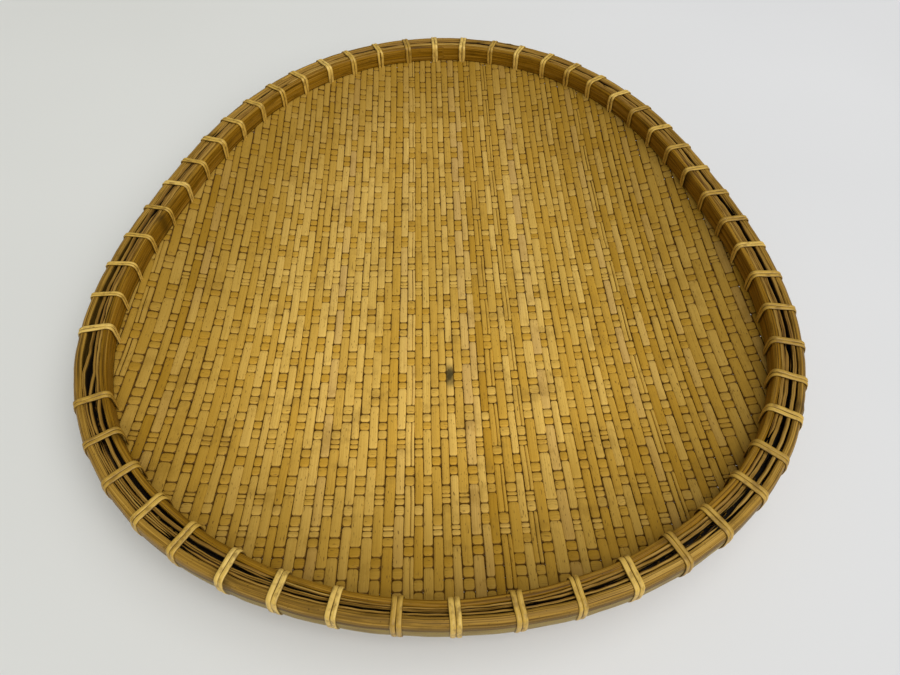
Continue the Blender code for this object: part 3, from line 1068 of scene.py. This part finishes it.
def splint_material():
    """Raw split bamboo between the hoops."""
    n = Nodes("bamboo_splints")
    grain = n.attribute("grain", "Vector")
    low = n.attribute("low")
    long = n.noise(n.scaled(grain, 9.0, 1300.0, 1.0), 1.0, 4.0, 0.7)
    colour = n.ramp(long, (
        (0.34, (0.05, 0.020, 0.002)),
        (0.45, (0.24, 0.120, 0.014)),
        (0.56, (0.37, 0.210, 0.034)),
        (0.70, (0.52, 0.340, 0.078)),
    ))
    # painted shade: near black low in the slot, on the closing strip and on the darker fibres
    colour = n.mix(n.span(low, 0.15, 0.75, 0.0, 0.985), colour, (0.008, 0.004, 0.001))
    n.link(colour, n.shader.inputs["Base Color"])
    n.put(n.shader.inputs["Roughness"], n.span(long, 0.2, 0.8, 0.7, 0.5))
    n.shader.inputs["Specular IOR Level"].default_value = 0.25
    n.bump(long, 0.6, 0.0004)
    return n.material


def lash_material():
    """Straw-yellow split cane."""
    n = Nodes("split_cane")
    grain = n.attribute("grain", "Vector")
    tone = n.attribute("tone")
    long = n.noise(n.scaled(grain, 60.0, 2600.0, 1.0), 1.0, 3.0, 0.6)
    cloud = n.noise(n.scaled(grain, 220.0, 300.0, 4.0), 1.0, 3.0, 0.6)
    flank = n.attribute("flank")
    pick = n.math("ADD", n.math("MULTIPLY", tone, 0.4), n.math("MULTIPLY", long, 0.6))
    colour = n.ramp(pick, (
        (0.22, (0.34, 0.190, 0.022)),
        (0.42, (0.54, 0.330, 0.050)),
        (0.58, (0.67, 0.430, 0.080)),
        (0.76, (0.78, 0.540, 0.140)),
    ))
    colour = n.mix(n.span(cloud, 0.46, 0.68, 0.0, 0.65), colour, (0.20, 0.105, 0.014))
    colour = n.mix(n.span(flank, 0.72, 1.0, 0.0, 0.75), colour, (0.08, 0.036, 0.003))
    n.link(colour, n.shader.inputs["Base Color"])
    n.put(n.shader.inputs["Roughness"], n.span(long, 0.2, 0.8, 0.5, 0.34))
    n.shader.inputs["Specular IOR Level"].default_value = 0.35
    n.bump(n.math("ADD", long, cloud), 0.4, 0.0002)
    return n.material


def floor_material():
    """Plain pale table with painted light across it: a little warmer and darker at the left, a little
    brighter and cooler at the right.
    """
    n = Nodes("pale_table")
    place = n.add("ShaderNodeNewGeometry").outputs["Position"]
    soft = n.noise(place, 3.0, 2.0)
    pale = n.ramp(soft, ((0.3, (0.80, 0.80, 0.805)), (0.7, (0.83, 0.83, 0.835))))
    # painted light: bounce warmth and less light at the left, more light at the right
    painted_light_tint = n.span(n.split(place, "X"), -0.35, 0.35)
    colour = n.tint(pale, painted_light_tint, ((0.0, (0.96, 0.97, 0.92)), (1.0, (1.0, 1.01, 1.02))))
    n.link(colour, n.shader.inputs["Base Color"])
    n.shader.inputs["Roughness"].default_value = 0.6
    return n.material


def dress(obj, material, node):
    """Give a piece its material and its body, and hide the imported part of the node it stands for."""
    obj.data.materials.append(material)
    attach(obj, "root")
    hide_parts(node)


# ================================================================ studio
TABLE_HALF = 3.0
FOCAL_PIXELS = 690.0
PICTURE_WIDTH = 900.0
SENSOR_WIDTH = 36.0
CAMERA_SPOT = (0.0057, -0.357, 0.352)
CAMERA_DOWN = 50.5  # degrees below level
SUN_FROM = (0.33, -0.56, 0.76)
SUN_ANGLE = 62.0
SUN_POWER = 2.15
LAMP_SPOT = (0.85, 0.10, 2.0)
LAMP_SIZE = 1.8
LAMP_POWER = 10.0
WORLD_POWER = 0.22


def add_light(name, kind, energy, colour, toward):
    """A light shining from the given direction to the middle of the tray."""
    data = bpy.data.lights.new(name, kind)
    data.energy = energy
    data.color = colour
    light = bpy.data.objects.new(name, data)
    light.rotation_euler = (-Vector(toward)).to_track_quat("-Z", "Y").to_euler()
    bpy.context.scene.collection.objects.link(light)
    return light


def studio():
    """Floor, soft lights and the camera."""
    mesh = bpy.data.meshes.new("table")
    half = TABLE_HALF
    corners = [(-half, -half, 0), (half, -half, 0), (half, half, 0), (-half, half, 0)]
    mesh.from_pydata(corners, [], [(0, 1, 2, 3)])
    floor = bpy.data.objects.new("table", mesh)
    floor.location.z = float(cad_low[2])
    bpy.context.scene.collection.objects.link(floor)
    floor.data.materials.append(floor_material())
    world = bpy.data.worlds.new("studio")
    bpy.context.scene.world = world
    world.use_nodes = True
    background = world.node_tree.nodes["Background"]
    background.inputs["Color"].default_value = (1.0, 0.985, 0.94, 1.0)
    background.inputs["Strength"].default_value = WORLD_POWER
    window = add_light("sky_window", "SUN", SUN_POWER, (0.985, 0.99, 1.0), SUN_FROM)
    window.data.angle = math.radians(SUN_ANGLE)
    overhead = add_light("overhead", "AREA", LAMP_POWER, (1.0, 0.99, 0.97), LAMP_SPOT)
    overhead.data.shape = "DISK"
    overhead.data.size = LAMP_SIZE
    overhead.location = LAMP_SPOT
    data = bpy.data.cameras.new("camera")
    data.sensor_width = SENSOR_WIDTH
    data.lens = SENSOR_WIDTH * FOCAL_PIXELS / PICTURE_WIDTH
    data.clip_start = 0.01
    camera = bpy.data.objects.new("camera", data)
    camera.location = CAMERA_SPOT
    camera.rotation_euler = (math.radians(90.0 - CAMERA_DOWN), 0.0, 0.0)
    bpy.context.scene.collection.objects.link(camera)
    bpy.context.scene.camera = camera
    bpy.context.scene.view_settings.view_transform = "Standard"


# ================================================================ assembly
studio()
mat_look = strip_material()
for strip in build_weave():
    dress(strip, mat_look, "woven_mat")

outer = hoop("outer_hoop_cane", outer_section(), 3, (0.041, 0.34, 0.567, 0.83), 0.55, False)
outer_look = hoop_material(
    "bamboo_outer_hoop", (0.30, 0.162, 0.020), (0.30, 0.205, 0.042), 0.36, 0.62)
dress(outer, outer_look, "outer_hoop")
inner = hoop("inner_hoop_strip", inner_section(), 5, (0.199, 0.42, 0.64, 0.766), 0.2, True)
inner_look = hoop_material(
    "bamboo_inner_hoop", (0.235, 0.112, 0.003), (0.34, 0.18, 0.05), 0.32, NO_SKIN)
dress(inner, inner_look, "inner_hoop")

# Node, seed, lane across the slot, top, height and where its strips are cut.
SPLINTS = (
    ("filler_splint_1", 11, 0, 36.9, 6.2, (0.02, 0.23, 0.40, 0.59, 0.83)),
    ("filler_splint_2", 12, 1, 36.4, 6.0, (0.11, 0.31, 0.47, 0.64, 0.77, 0.95)),
    ("filler_splint_3", 13, 2, 37.2, 6.4, (0.07, 0.36, 0.55, 0.70, 0.89)),
)
splint_look = splint_material()
for node, seed, lane, top, height, cuts in SPLINTS:
    dress(splint(node + "_strip", seed, lane, top, height, cuts), splint_look, node)

cane_look = lash_material()
for number, place in enumerate(lash_places(), start=1):
    node = "lashing_%02d" % number
    dress(lashing(node + "_wrap", place, WRAP_SEED + number), cane_look, node)
